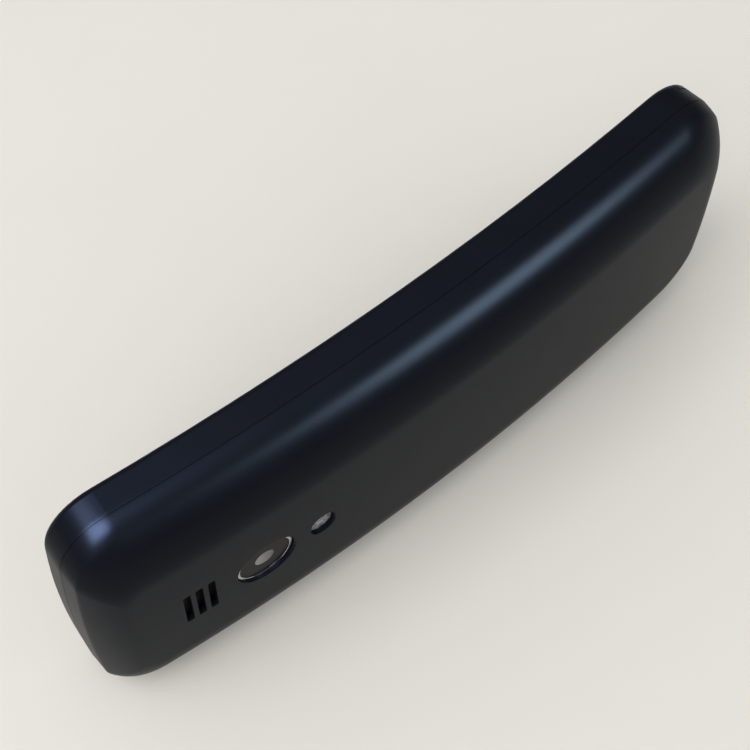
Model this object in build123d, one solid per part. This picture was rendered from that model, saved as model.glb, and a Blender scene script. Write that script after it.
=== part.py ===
from build123d import *
import os
from math import cos, degrees, sin, sqrt

# A curved mobile phone that stands on its long side.
# +X runs along the length to the camera end, +Y points out of the back, +Z across the width.
# Places inside are given as (along, depth, across): along the front's arc from mid-length,
# depth in from the front face, and across the width from the side that the phone stands on.

# Case
case_length = 133.0
case_width = 50.0
case_depth = 14.1
back_crown = 0.6
front_radius = 630.0
back_radius = 492.0
camera_end_corner = 9.0
foot_end_corner = 11.8
camera_end_bulge = 1.5
foot_end_bulge = 2.0
back_rounding = 8.8
front_rounding = 1.2
cover_wall = 1.3
back_sweep = 24.0

# Seam between the back cover and the front frame
seam_depth = 5.4
seam_gap = 0.12
tongue_height = 0.9
tongue_wall = 0.9
tongue_clearance = 0.35

# Front frame
rim_wall = 2.4
deck_depth = 3.0
deck_thickness = 1.2
display_floor_depth = 3.5
foot_wall = 4.0

# Slide over the keypad
slide_travel = 40.0
slide_skin = 1.5
slide_plate_thickness = 0.45
slide_foot = 6.2
slide_side_clearance = 0.15
runner_reach = 1.0
runner_clearance = 0.1
slide_under_clearance = 0.3
grip_rib_height = 0.35
grip_rib_length = 1.0
grip_rib_width = 14.0
grip_rib_pitch = 2.2
grip_rib_count = 3
slide_spring_foot_gap = 14.55
slide_spring_length = 7.0
slide_spring_width = 1.2
stop_pin_radius = 0.5
stop_pin_margin = 2.0
stop_pin_clearance = 0.15

# Display and earpiece
window_recess = 0.15
window_thickness = 1.0
window_top_corner = 6.5
window_foot_corner = 1.5
window_clearance = 0.1
window_end_margin = 1.9
window_bridge = 1.3
display_length = 43.0
display_side_inset = 8.0
display_thickness = 2.0
display_clearance = 0.15
display_edge = 0.7
display_deck_back = 5.0
earpiece_length = 4.8
earpiece_width = 11.0
earpiece_corner = 1.0
earpiece_thickness = 2.0
earpiece_slot_length = 1.3
earpiece_slot_width = 9.0
earpiece_mesh_thickness = 0.3
earpiece_mesh_recess = 0.35
earpiece_wall = 0.6
earpiece_end_margin = 2.45

# Keypad
key_top_clearance = 0.35
key_side_clearance = 0.15
key_travel = 0.25
key_flange = 0.35
key_flange_thickness = 0.2
key_flange_gap = 0.1
key_corner = 1.1
key_edge = 0.25
digit_key_length = 5.4
digit_row_pitch = 6.4
side_key_length = 5.6
key_gap = 1.0
digit_side_inset = 4.5
side_key_inset = 4.2
keypad_edge_gap = 0.6
keypad_row_gap = 1.2
ring_width = 15.2
ring_corner = 4.5
centre_key_length = 5.2
centre_key_width = 6.4
centre_key_corner = 1.6
dome_radius = 1.9
dome_height = 0.2
dome_foil = 0.12
dome_gap = 0.1
pusher_radius = 1.2

# Boards
board_side_inset = 8.0
board_thickness = 0.8
board_corner = 1.0
keypad_board_gap = 1.15
keypad_board_lead = 2.0
keypad_board_tail = 4.9
main_board_gap = 0.35
main_board_end_inset = 3.75
lower_board_gap = 1.4
lower_board_end_inset = 4.75
board_gap = 3.0
board_post_radius = 0.8
board_post_inset = 1.1
board_post_height = 1.8

# Housing behind the boards
housing_inset = 4.2
housing_depth = 6.75
housing_height = 3.25
housing_wall = 1.0
screw_inset = 5.9
screw_end_inset = 11.0
screw_above_display = 1.5
screw_shank = 0.7
screw_clearance = 0.05
screw_head = 1.25
screw_head_height = 0.8
screw_slot = 0.3
screw_bite = 2.6
boss_radius = 1.8

# Battery
battery_length = 48.0
battery_side_inset = 8.0
battery_thickness = 5.0
battery_corner = 1.5
battery_clearance = 0.3
battery_above_board = 1.1

# Back details, all on the middle of the width
camera_end_distance = 28.6
camera_ring_radius = 5.1
camera_ring_width = 0.55
camera_ring_recess = 0.55
camera_window_thickness = 0.7
camera_window_recess = 0.65
camera_ledge = 1.3
seat_thickness = 0.45
seat_rim = 1.0
camera_body = 8.5
camera_body_corner = 0.6
camera_barrel_radius = 3.1
camera_barrel_height = 1.2
camera_lens_radius = 1.75
camera_lens_thickness = 0.5
camera_gap = 0.3
flash_below_camera = 10.4
flash_length = 4.3
flash_width = 5.1
flash_lens_recess = 0.75
flash_lens_thickness = 0.6
flash_ledge = 0.5
flash_led_size = 2.4
flash_led_height = 0.7
flash_guide_radius = 1.2
flash_guide_flange = 0.8
flash_guide_flange_height = 0.4
slots_above_camera = 11.6
slot_pitch = 2.1
slot_count = 3
slot_length = 1.3
slot_width = 8.9
slot_corner = 0.35
mesh_thickness = 0.3
mesh_margin = 1.2
mesh_gap = 0.15
speaker_camera_gap = 1.85
speaker_width = 15.0
speaker_thickness = 2.0
speaker_corner = 1.5

# Small parts on the boards
shield_length = 26.0
shield_width = 9.0
shield_height = 1.8
shield_corner = 0.5
shield_edge_inset = 1.0
sim_length = 15.0
sim_bay_gap = 1.2
sim_width = 12.0
sim_card_thickness = 0.6
sim_card_corner = 0.8
sim_holder_wall = 0.8
contact_block_length = 2.4
contact_block_width = 9.0
contact_block_height = 3.0
contact_count = 3
contact_pitch = 2.5
contact_width = 0.8
contact_clearance = 0.3
antenna_length = 16.0
antenna_offset = 5.5
antenna_width = 19.0
antenna_thickness = 0.25
motor_radius = 4.0
motor_thickness = 2.4
motor_bay_gap = 2.7
motor_offset = 11.0
microphone_end_inset = 7.25
microphone_offset = 10.0
microphone_size = 3.0
microphone_thickness = 1.0
microphone_hole = 0.5

# Sockets at the foot end
usb_length = 5.4
usb_width = 7.8
usb_height = 2.5
usb_shell = 0.35
usb_corner = 0.5
usb_blade_setback = 1.0
usb_setback = 3.1
usb_hole_corner = 1.0
jack_length = 12.0
jack_radius = 2.45
jack_bore = 1.8
jack_end_wall = 1.0
jack_depth = 8.1
jack_offset = 9.5
jack_setback = 4.3
socket_hole_clearance = 0.35

hair = 0.05
fit_gap = 0.3
open_air = 20.0
overrun = 5.0
cut_margin = 1.0

half_length = case_length / 2
mid_width = case_width / 2
end_angle = half_length / front_radius
front_end_drop = front_radius * (1 - cos(end_angle))
front_mid_y = (front_end_drop - case_depth - back_crown) / 2
front_centre_y = front_mid_y - front_radius
back_centre_y = front_mid_y + case_depth - back_radius

rear_inset = cover_wall + tongue_clearance + tongue_wall
window_back = window_recess + window_thickness
window_end = half_length - window_end_margin
earpiece_along = window_end - earpiece_end_margin - earpiece_length / 2
display_along = earpiece_along - earpiece_length / 2 - earpiece_wall - display_length / 2
display_width = case_width - 2 * display_side_inset
window_start = display_along - display_length / 2 - display_edge

slide_top = window_start - window_bridge
slide_back = slide_skin + slide_plate_thickness
lip_depth = slide_back + slide_under_clearance
slide_start = slide_foot - half_length
slide_spring_along = slide_start + slide_spring_foot_gap
runner_low = rim_wall - runner_reach
stop_pin_along = slide_top - slide_travel - stop_pin_margin
stop_pin_low = rim_wall + slide_spring_width / 2 + fit_gap
stop_pin_columns = (stop_pin_low, case_width - stop_pin_low)
key_top = slide_back + key_top_clearance
deck_back = deck_depth + deck_thickness
display_deck_start = slide_top + hair

side_key_along = slide_top - keypad_edge_gap - side_key_length / 2
ring_length = 2 * side_key_length + key_gap
ring_along = slide_top - keypad_edge_gap - ring_length / 2
side_key_width = (case_width - 2 * side_key_inset - ring_width - 2 * key_gap) / 2
side_key_offset = ring_width / 2 + key_gap + side_key_width / 2
digit_start = slide_top - keypad_edge_gap - ring_length - keypad_row_gap - digit_key_length / 2
digit_key_width = (case_width - 2 * digit_side_inset - 2 * key_gap) / 3
digit_column_pitch = digit_key_width + key_gap
digit_row_count = 4
keypad_end = digit_start - (digit_row_count - 1) * digit_row_pitch - digit_key_length / 2

board_width = case_width - 2 * board_side_inset
keypad_board_start = slide_top + keypad_board_lead
keypad_board_end = keypad_end - keypad_board_tail
keypad_board_length = keypad_board_start - keypad_board_end
keypad_board_along = keypad_board_start - keypad_board_length / 2
main_board_start = keypad_board_start + board_gap
main_board_length = half_length - main_board_end_inset - main_board_start
main_board_along = main_board_start + main_board_length / 2
lower_board_start = keypad_board_end - board_gap
lower_board_length = lower_board_start + half_length - lower_board_end_inset
lower_board_along = lower_board_start - lower_board_length / 2
keypad_board_depth = deck_back + keypad_board_gap
main_board_depth = display_deck_back + main_board_gap
lower_board_depth = deck_back + lower_board_gap
keypad_board_back = keypad_board_depth + board_thickness
main_board_back = main_board_depth + board_thickness
lower_board_back = lower_board_depth + board_thickness

camera_along = half_length - camera_end_distance
flash_along = camera_along - flash_below_camera
slot_along = camera_along + slots_above_camera
speaker_length = 2 * (slots_above_camera - camera_body / 2 - speaker_camera_gap)
shield_spacing = board_width - shield_width - 2 * shield_edge_inset

housing_back = housing_depth + housing_height
battery_along = keypad_board_start - battery_length / 2
battery_width = case_width - 2 * battery_side_inset
battery_depth = keypad_board_back + battery_above_board
battery_end = battery_along + battery_length / 2
battery_foot = battery_along - battery_length / 2
bay_foot = battery_foot - battery_clearance - housing_wall
motor_along = bay_foot - motor_bay_gap - motor_radius
antenna_along = (battery_foot - half_length) / 2
sim_offset = battery_width / 2 - sim_bay_gap - sim_holder_wall - sim_width / 2
screw_rows = (
    half_length - screw_end_inset,
    slide_top + screw_above_display,
    keypad_board_end - board_gap / 2,
    screw_end_inset - half_length,
)
screw_columns = (screw_inset, case_width - screw_inset)


def arc_point(along, depth):
    """Point at mid-width plane, on the arc that lies this deep behind the front."""
    angle = along / front_radius
    reach = front_radius + depth
    return (reach * sin(angle), front_centre_y + reach * cos(angle))


def seat(along, depth, across):
    """Local frame: X towards the camera end, Y into the depth, Z across the width."""
    x, y = arc_point(along, depth)
    return Pos(x, y, across) * Rot(0, 0, -degrees(along / front_radius))


def arc_slab(start, end, front, back, low, high):
    """Block that follows the front's arc between two depths."""
    middle = (start + end) / 2
    outline = [
        ThreePointArc(arc_point(start, front), arc_point(middle, front), arc_point(end, front)),
        Line(arc_point(end, front), arc_point(end, back)),
        ThreePointArc(arc_point(end, back), arc_point(middle, back), arc_point(start, back)),
        Line(arc_point(start, back), arc_point(start, front)),
    ]
    return Pos(0, 0, low) * extrude(make_face(outline), high - low, dir=(0, 0, 1))


def block(length, depth, width, corner=0.0):
    """Flat block that starts at its seat and grows into the depth."""
    solid = Box(length, depth, width, align=(Align.CENTER, Align.MIN, Align.CENTER))
    if corner:
        solid = fillet(solid.edges().filter_by(Axis.Y), corner)
    return solid


def oval(length, width, depth):
    """Upright prism with fully rounded ends."""
    return block(length, depth, width, length / 2 - hair)


def disc(radius, depth):
    """Round disc that starts at its seat and grows into the depth."""
    return Rot(-90, 0, 0) * Cylinder(radius, depth, align=(Align.CENTER, Align.CENTER, Align.MIN))


def flat_depth(along, centre, depth):
    """Depth, at a place along, of a flat plane that touches an arc at its centre."""
    return (front_radius + depth) / cos((along - centre) / front_radius) - front_radius


def back_depth(along):
    """Depth of the outside of the back, on the middle of the width."""
    angle = along / front_radius
    shift = back_centre_y - front_centre_y
    crowned = back_radius + back_crown
    reach = shift * cos(angle) + sqrt(crowned**2 - (shift * sin(angle)) ** 2)
    return reach - front_radius


def end_outline(side, inset):
    """Plan outline of one end, run on past the other end, as a tall prism."""
    corner = camera_end_corner if side > 0 else foot_end_corner
    bulge = camera_end_bulge if side > 0 else foot_end_bulge
    tail = -2 * case_length
    low = inset
    high = case_width - inset
    outline = [
        Line((tail, low), (-bulge - inset, low)),
        ThreePointArc((-bulge - inset, low), (-inset, mid_width), (-bulge - inset, high)),
        Line((-bulge - inset, high), (tail, high)),
        Line((tail, high), (tail, low)),
    ]
    face = make_face(outline)
    face = fillet(face.vertices().group_by(Axis.X)[-1], corner - inset)
    x, y = arc_point(side * half_length, 0)
    outward = (side * cos(end_angle), -sin(end_angle), 0)
    plane = Plane(origin=(x, y, 0), x_dir=outward, z_dir=Vector(*outward).cross(Vector(0, 0, 1)))
    return extrude(plane * face, 2 * open_air, both=True)


def plan_form(inset):
    """Everything inside the plan outline, moved in by an inset."""
    return end_outline(1, inset) & end_outline(-1, inset)


def front_cylinder(depth):
    """Everything in front of a depth."""
    return Pos(0, front_centre_y, mid_width) * Cylinder(front_radius + depth, case_width + open_air)


def case_form(inset):
    """Solid shape of the case, moved in by an inset, with its back edge rounded."""
    rim = front_mid_y + case_depth - inset
    low = inset - hair
    high = case_width - low
    profile = [
        Line((front_mid_y - open_air, low), (rim, low)),
        ThreePointArc((rim, low), (rim + back_crown, mid_width), (rim, high)),
        Line((rim, high), (front_mid_y - open_air, high)),
        Line((front_mid_y - open_air, high), (front_mid_y - open_air, low)),
    ]
    axis = Axis((0, back_centre_y, 0), (0, 0, 1))
    swept = revolve(Plane.YZ * make_face(profile), axis, back_sweep).rotate(axis, -back_sweep / 2)
    solid = (swept & plan_form(inset)) - front_cylinder(0)
    back_face = solid.faces().sort_by(Axis.Y)[-1]
    return fillet(back_face.edges(), back_rounding - inset)


def case_outside():
    """Outside of the closed phone, with both its edges rounded."""
    solid = case_form(0)
    front_face = solid.faces().sort_by(Axis.Y)[0]
    return fillet(front_face.edges(), front_rounding)


def on_plane(centre, depth, along, across):
    """Place on a flat board, or other flat thing, that touches an arc at its centre."""
    shift = (front_radius + depth) * sin((along - centre) / front_radius)
    return seat(centre, depth, across) * Pos(shift, 0, 0)


def across_at(column, count, pitch):
    """Place across the width of one of a row of like things."""
    return mid_width + ((count - 1) / 2 - column) * pitch


# Back cover and what is fixed in it

camera_floor = back_depth(camera_along) - camera_window_recess - camera_window_thickness
flash_floor = back_depth(flash_along) - flash_lens_recess - flash_lens_thickness
usb_depth = lower_board_back + usb_height / 2


def usb_place(setback):
    """Place on the charging socket's axis, this far in from the foot end."""
    return on_plane(lower_board_along, usb_depth, setback - half_length, mid_width)


def jack_place(setback):
    """Place on the headphone socket's axis, this far in from the foot end."""
    return seat(setback - half_length, jack_depth, mid_width + jack_offset) * Rot(0, 90, 0)


def lens_seat(along, floor):
    """Place of the pad inside the cover that carries a lens which lies this deep."""
    return seat(along, floor - seat_thickness, mid_width)


def make_back_cover(outside):
    """Deep removable shell: the whole back with its four sides, up to the seam."""
    cover = outside - front_cylinder(seam_depth + seam_gap) - case_form(cover_wall)
    cover += lens_seat(camera_along, camera_floor) * disc(
        camera_ring_radius + seat_rim, 2 * seat_thickness
    )
    cover += lens_seat(flash_along, flash_floor) * oval(
        flash_length + 2 * seat_rim, flash_width + 2 * seat_rim, 2 * seat_thickness
    )
    cover -= seat(camera_along, camera_floor, mid_width) * disc(camera_ring_radius + hair, overrun)
    cover -= seat(camera_along, camera_floor - overrun, mid_width) * disc(
        camera_ring_radius - camera_ledge, 2 * overrun
    )
    cover -= seat(flash_along, flash_floor, mid_width) * oval(flash_length, flash_width, overrun)
    cover -= seat(flash_along, flash_floor - overrun, mid_width) * oval(
        flash_length - 2 * flash_ledge, flash_width - 2 * flash_ledge, 2 * overrun
    )
    for number in range(slot_count):
        along = slot_along + (number - (slot_count - 1) / 2) * slot_pitch
        place = seat(along, back_depth(along) - overrun, mid_width)
        cover -= place * block(slot_length, 2 * overrun, slot_width, slot_corner)
    grown = 2 * socket_hole_clearance
    usb_hole = Box(2 * usb_setback, usb_height + grown, usb_width + grown)
    cover -= usb_place(0) * fillet(usb_hole.edges().filter_by(Axis.X), usb_hole_corner)
    cover -= jack_place(0) * Cylinder(jack_bore + socket_hole_clearance, 2 * jack_setback)
    return cover


def make_camera_ring():
    height = back_depth(camera_along) - camera_ring_recess - camera_floor
    ring = disc(camera_ring_radius, height) - disc(camera_ring_radius - camera_ring_width, height)
    return seat(camera_along, camera_floor, mid_width) * ring


def make_camera_window():
    radius = camera_ring_radius - camera_ring_width - hair
    return seat(camera_along, camera_floor, mid_width) * disc(radius, camera_window_thickness)


def make_flash_lens():
    lens = oval(flash_length - 2 * hair, flash_width - 2 * hair, flash_lens_thickness)
    return seat(flash_along, flash_floor, mid_width) * lens


def make_speaker_mesh():
    """Woven sheet that lines the inside of the cover behind the slots."""
    back = back_depth(slot_along) - cover_wall - mesh_gap
    reach = (slot_count - 1) / 2 * slot_pitch + slot_length / 2 + mesh_margin
    half_width = slot_width / 2 + mesh_margin
    return arc_slab(
        slot_along - reach,
        slot_along + reach,
        back - mesh_thickness,
        back,
        mid_width - half_width,
        mid_width + half_width,
    )


# Front frame with its deck


def key_places():
    """Name, place along, place across, length, width and corner of every key."""
    places = []
    side_key = (side_key_length, side_key_width, key_corner)
    side_rows = (("soft_key_left", "soft_key_right"), ("call_key", "end_key"))
    for row, names in enumerate(side_rows):
        along = side_key_along - row * (side_key_length + key_gap)
        for column, name in enumerate(names):
            across = across_at(column, len(names), 2 * side_key_offset)
            places.append((name, along, across, *side_key))
    rows = (("1", "2", "3"), ("4", "5", "6"), ("7", "8", "9"), ("star", "0", "hash"))
    for row, marks in enumerate(rows):
        along = digit_start - row * digit_row_pitch
        for column, mark in enumerate(marks):
            across = across_at(column, len(marks), digit_column_pitch)
            digit_key = (digit_key_length, digit_key_width, key_corner)
            places.append((f"key_{mark}", along, across, *digit_key))
    return places


def key_hole(along, across, length, width, corner):
    """Opening in the deck for one key."""
    return seat(along, deck_depth - cut_margin, across) * block(
        length + 2 * key_side_clearance,
        deck_thickness + 2 * cut_margin,
        width + 2 * key_side_clearance,
        corner + key_side_clearance,
    )


def board_posts(centre, depth, length):
    """Four posts on the deck that carry a board."""
    posts = []
    for end in (-1, 1):
        for side in (-1, 1):
            shift = end * (length / 2 - board_post_inset)
            across = mid_width + side * (board_width / 2 - board_post_inset)
            place = seat(centre, depth - board_post_height, across) * Pos(shift, 0, 0)
            posts.append(place * disc(board_post_radius, board_post_height))
    return posts


def make_front_frame(outside):
    """Front shell: rim, runner grooves, key deck, display bed and the tongue inside the cover."""
    frame = outside & front_cylinder(seam_depth)
    tongue = plan_form(cover_wall + tongue_clearance) - plan_form(rear_inset)
    frame += tongue & arc_slab(
        -half_length, half_length, deck_back, seam_depth + tongue_height, 0, case_width
    )
    high = case_width - rim_wall
    far_foot = -half_length - overrun
    foot_wall_start = foot_wall - half_length
    slide_end = slide_top + slide_side_clearance
    frame -= arc_slab(foot_wall_start, slide_end, -overrun, deck_depth, rim_wall, high)
    frame -= arc_slab(far_foot, slide_end, -overrun, lip_depth, rim_wall, high)
    frame -= arc_slab(far_foot, slide_start, -overrun, lip_depth, -overrun, case_width + overrun)
    frame -= arc_slab(
        far_foot,
        slide_end,
        slide_skin - runner_clearance,
        slide_back + runner_clearance,
        runner_low,
        case_width - runner_low,
    )
    frame -= window_slab(0, -overrun, window_back)
    room = plan_form(rear_inset)
    behind = seam_depth + overrun
    frame -= room & arc_slab(-half_length, display_deck_start, deck_back, behind, 0, case_width)
    frame -= room & arc_slab(display_deck_start, half_length, display_deck_back, behind, 0, case_width)
    frame -= seat(display_along, 0, mid_width) * block(
        display_length + 2 * display_clearance,
        display_floor_depth,
        display_width + 2 * display_clearance,
    )
    frame -= seat(earpiece_along, 0, mid_width) * block(
        earpiece_length + 2 * display_clearance,
        display_floor_depth,
        earpiece_width + 2 * display_clearance,
    )
    for _, along, across, length, width, corner in key_places():
        frame -= key_hole(along, across, length, width, corner)
    frame -= key_hole(ring_along, mid_width, ring_length, ring_width, ring_corner)
    across = mid_width - microphone_offset
    microphone_way = seat(-half_length, (deck_back + deck_depth) / 2, across) * Rot(0, 90, 0)
    frame -= microphone_way * Cylinder(microphone_hole, 2 * foot_wall)
    for across in stop_pin_columns:
        pin_top = (slide_skin + slide_back) / 2
        frame += seat(stop_pin_along, pin_top, across) * disc(stop_pin_radius, deck_back - pin_top - hair)
    for row in screw_rows:
        for column in screw_columns:
            frame += seat(row, deck_back - hair, column) * disc(boss_radius, housing_depth - deck_back)
    for centre, depth, length in (
        (keypad_board_along, keypad_board_depth, keypad_board_length),
        (main_board_along, main_board_depth, main_board_length),
        (lower_board_along, lower_board_depth, lower_board_length),
    ):
        for post in board_posts(centre, depth, length):
            frame += post
    for row in screw_rows:
        for column in screw_columns:
            frame -= seat(row, housing_depth - screw_bite, column) * disc(
                screw_shank + screw_clearance, screw_bite + overrun
            )
    return frame


def window_slab(clearance, front, back):
    """Curved slab in the outline of the display window."""
    low = rim_wall + clearance
    slab = arc_slab(
        window_start + clearance, window_end - clearance, front, back, low, case_width - low
    )
    corners = slab.edges().filter_by(GeomType.LINE).filter_by(Axis.Z, reverse=True)
    slab = fillet(corners.sort_by(Axis.X)[-2:], window_top_corner - clearance)
    corners = slab.edges().filter_by(GeomType.LINE).filter_by(Axis.Z, reverse=True)
    return fillet(corners.sort_by(Axis.X)[:2], window_foot_corner - clearance)


def make_display_window():
    glass = window_slab(window_clearance, window_recess, window_back - hair)
    slot = block(earpiece_slot_length, overrun, earpiece_slot_width, earpiece_slot_length / 2 - hair)
    return glass - seat(earpiece_along, -cut_margin, mid_width) * slot


def make_display_module():
    place = seat(display_along, display_floor_depth - display_thickness, mid_width)
    return place * block(display_length, display_thickness, display_width)


def make_earpiece():
    place = seat(earpiece_along, display_floor_depth - earpiece_thickness, mid_width)
    return place * block(earpiece_length, earpiece_thickness, earpiece_width, earpiece_corner)


def make_earpiece_mesh():
    length = earpiece_slot_length - 2 * hair
    mesh = block(length, earpiece_mesh_thickness, earpiece_slot_width - 2 * hair, length / 2 - hair)
    return seat(earpiece_along, window_recess + earpiece_mesh_recess, mid_width) * mesh


# Slide over the keypad


def make_slide_cover(outside):
    """Skin over the keypad, with a full-width foot that closes the lower end."""
    low = rim_wall + slide_side_clearance
    far_foot = -half_length - overrun
    foot_end = slide_start - slide_side_clearance
    skin = arc_slab(far_foot, slide_top, -overrun, slide_skin, low, case_width - low)
    foot = arc_slab(far_foot, foot_end, -overrun, slide_back, -overrun, case_width + overrun)
    slide = outside & (skin + foot)
    for number in range(grip_rib_count):
        along = slide_top - (number + 1) * grip_rib_pitch
        depth = grip_rib_height + slide_skin / 2
        rib = block(grip_rib_length, depth, grip_rib_width, grip_rib_length / 2 - hair)
        slide += seat(along, -grip_rib_height, mid_width) * rib
    return slide


def make_slide_plate():
    """Steel sheet under the skin, whose edges run in the rim's grooves."""
    low = runner_low + slide_side_clearance
    start = slide_start - slide_side_clearance
    plate = arc_slab(start, slide_top, slide_skin, slide_back, low, case_width - low)
    reach = stop_pin_radius + stop_pin_clearance
    for across in stop_pin_columns:
        plate -= arc_slab(
            stop_pin_along - reach,
            stop_pin_along + slide_travel + reach,
            slide_skin - cut_margin,
            slide_back + cut_margin,
            across - reach,
            across + reach,
        )
    return plate


def make_slide_springs():
    """Two flat springs on the deck that hold the slide open or shut."""
    springs = []
    height = deck_depth - lip_depth - hair
    for across in stop_pin_columns:
        place = seat(slide_spring_along, lip_depth, across)
        springs.append(place * block(slide_spring_length, height, slide_spring_width))
    return Compound(springs)


# Keys


def key_stem(along, across, length, width, corner, cap):
    """Cap with the flange under the deck that keeps it in."""
    flange_front = deck_back + key_flange_gap
    flange = seat(along, flange_front, across) * block(
        length + 2 * key_flange, key_flange_thickness, width + 2 * key_flange, corner + key_flange
    )
    return cap + flange


def key_cap(along, across, length, width, corner):
    cap = block(length, deck_back + key_flange_gap + hair - key_top, width, corner)
    top = cap.faces().sort_by(Axis.Y)[0]
    return seat(along, key_top, across) * fillet(top.edges(), key_edge)


def pusher(along, across):
    """Pin from a key's flange down to its dome."""
    front = deck_back + key_flange_gap
    clear = keypad_board_depth - dome_foil - dome_height - key_travel - dome_gap
    back = flat_depth(along, keypad_board_along, clear)
    return seat(along, front, across) * disc(pusher_radius, back - front)


def make_key(along, across, length, width, corner):
    cap = key_cap(along, across, length, width, corner)
    return key_stem(along, across, length, width, corner, cap) + pusher(along, across)


def ring_domes():
    """Four places under the navigation ring."""
    along_shift = (centre_key_length + ring_length) / 4
    across_shift = (centre_key_width + ring_width) / 4
    return [
        (ring_along + along_shift, mid_width),
        (ring_along - along_shift, mid_width),
        (ring_along, mid_width + across_shift),
        (ring_along, mid_width - across_shift),
    ]


def make_navigation_ring():
    cap = key_cap(ring_along, mid_width, ring_length, ring_width, ring_corner)
    ring = key_stem(ring_along, mid_width, ring_length, ring_width, ring_corner, cap)
    for along, across in ring_domes():
        ring += pusher(along, across)
    gap = key_side_clearance
    ring -= seat(ring_along, key_top - cut_margin, mid_width) * block(
        centre_key_length + 2 * gap, overrun, centre_key_width + 2 * gap, centre_key_corner + gap
    )
    gap = key_flange + key_side_clearance
    lip_back = deck_back - key_travel
    ring -= seat(ring_along, lip_back, mid_width) * block(
        centre_key_length + 2 * gap, overrun, centre_key_width + 2 * gap, centre_key_corner + gap
    )
    return ring


def make_dome_sheet():
    """Foil on the keypad board with one snap dome under each key."""
    place = seat(keypad_board_along, keypad_board_depth - dome_foil, mid_width)
    sheet = place * block(keypad_board_length - 4 * board_post_inset, dome_foil, board_width)
    spots = [(along, across) for _, along, across, *_ in key_places()]
    spots += ring_domes() + [(ring_along, mid_width)]
    level = keypad_board_depth - dome_foil - dome_height
    for along, across in spots:
        sheet += on_plane(keypad_board_along, level, along, across) * disc(dome_radius, dome_height + hair)
    return sheet


# Boards


def make_board(centre, depth, length):
    return seat(centre, depth, mid_width) * block(length, board_thickness, board_width, board_corner)


def jack_room():
    """Space round the headphone socket."""
    side = 2 * jack_radius + 2 * fit_gap
    centre = jack_setback + jack_length / 2 - half_length
    return seat(centre, jack_depth, mid_width + jack_offset) * Box(jack_length + 2 * fit_gap, side, side)


def make_lower_board():
    board = make_board(lower_board_along, lower_board_depth, lower_board_length)
    return board - jack_room()


def make_shield_cans():
    cans = []
    for side in (-1, 1):
        across = mid_width + side * shield_spacing / 2
        place = seat(main_board_along, main_board_back, across)
        cans.append(place * block(shield_length, shield_height, shield_width, shield_corner))
    return Compound(cans)


def make_camera_module():
    front = flat_depth(camera_along, main_board_along, main_board_back)
    body_height = camera_floor - camera_gap - camera_barrel_height - front
    place = on_plane(main_board_along, main_board_back, camera_along, mid_width)
    module = place * block(camera_body, body_height, camera_body, camera_body_corner)
    barrel = disc(camera_barrel_radius, camera_barrel_height + hair)
    module += place * Pos(0, body_height - hair, 0) * barrel
    pocket = disc(camera_lens_radius + hair, overrun)
    lens_floor = body_height + camera_barrel_height - camera_lens_thickness
    module -= place * Pos(0, lens_floor, 0) * pocket
    lens = place * Pos(0, lens_floor, 0) * disc(camera_lens_radius, camera_lens_thickness)
    return module, lens


def make_flash_led():
    place = on_plane(main_board_along, main_board_back, flash_along, mid_width)
    return place * block(flash_led_size, flash_led_height, flash_led_size)


def make_flash_guide():
    """Clear rod, hung by its flange in the housing, from the lamp to the lens."""
    front = flat_depth(flash_along, main_board_along, main_board_back) + flash_led_height + fit_gap
    rod = seat(flash_along, front, mid_width) * disc(flash_guide_radius, flash_floor - fit_gap - front)
    flange = seat(flash_along, housing_back + hair, mid_width) * disc(
        flash_guide_radius + flash_guide_flange, flash_guide_flange_height
    )
    return rod + flange


def make_sim_holder():
    place = on_plane(keypad_board_along, keypad_board_back, battery_along, mid_width - sim_offset)
    length = sim_length + 2 * sim_holder_wall
    height = sim_card_thickness + hair
    outer = block(length, height, sim_width + 2 * sim_holder_wall)
    inner = Pos(-sim_holder_wall, 0, 0) * block(length, height, sim_width + 2 * hair)
    card = block(sim_length, sim_card_thickness, sim_width, sim_card_corner)
    return place * (outer - inner), place * card


def make_battery():
    place = seat(battery_along, battery_depth, mid_width)
    return place * block(battery_length, battery_thickness, battery_width, battery_corner)


def make_contacts():
    """Block on the main board and its three sprung blades, which reach the battery's end."""
    start = battery_end + board_gap
    along = start + contact_block_length / 2
    place = on_plane(main_board_along, main_board_back, along, mid_width)
    holder = place * block(contact_block_length, contact_block_height, contact_block_width)
    blades = []
    reach = start - battery_end - contact_clearance
    for number in range(contact_count):
        across = across_at(number, contact_count, contact_pitch)
        blade = Box(reach, contact_width, contact_width, align=(Align.MAX, Align.MIN, Align.CENTER))
        spot = on_plane(main_board_along, main_board_back + contact_block_height / 2, start, across)
        blades.append(spot * blade)
    return holder, Compound(blades)


def make_antenna():
    half_width = antenna_width / 2
    across = mid_width - antenna_offset
    return arc_slab(
        antenna_along - antenna_length / 2,
        antenna_along + antenna_length / 2,
        housing_back + hair,
        housing_back + hair + antenna_thickness,
        across - half_width,
        across + half_width,
    )


def make_loudspeaker():
    place = seat(slot_along, housing_back + hair, mid_width)
    return place * block(speaker_length, speaker_thickness, speaker_width, speaker_corner)


def make_motor():
    place = on_plane(lower_board_along, lower_board_back, motor_along, mid_width - motor_offset)
    return place * disc(motor_radius, motor_thickness)


def make_microphone():
    level = lower_board_depth - microphone_thickness
    along = microphone_end_inset - half_length
    place = on_plane(lower_board_along, level, along, mid_width - microphone_offset)
    return place * block(microphone_size, microphone_thickness, microphone_size)


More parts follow.
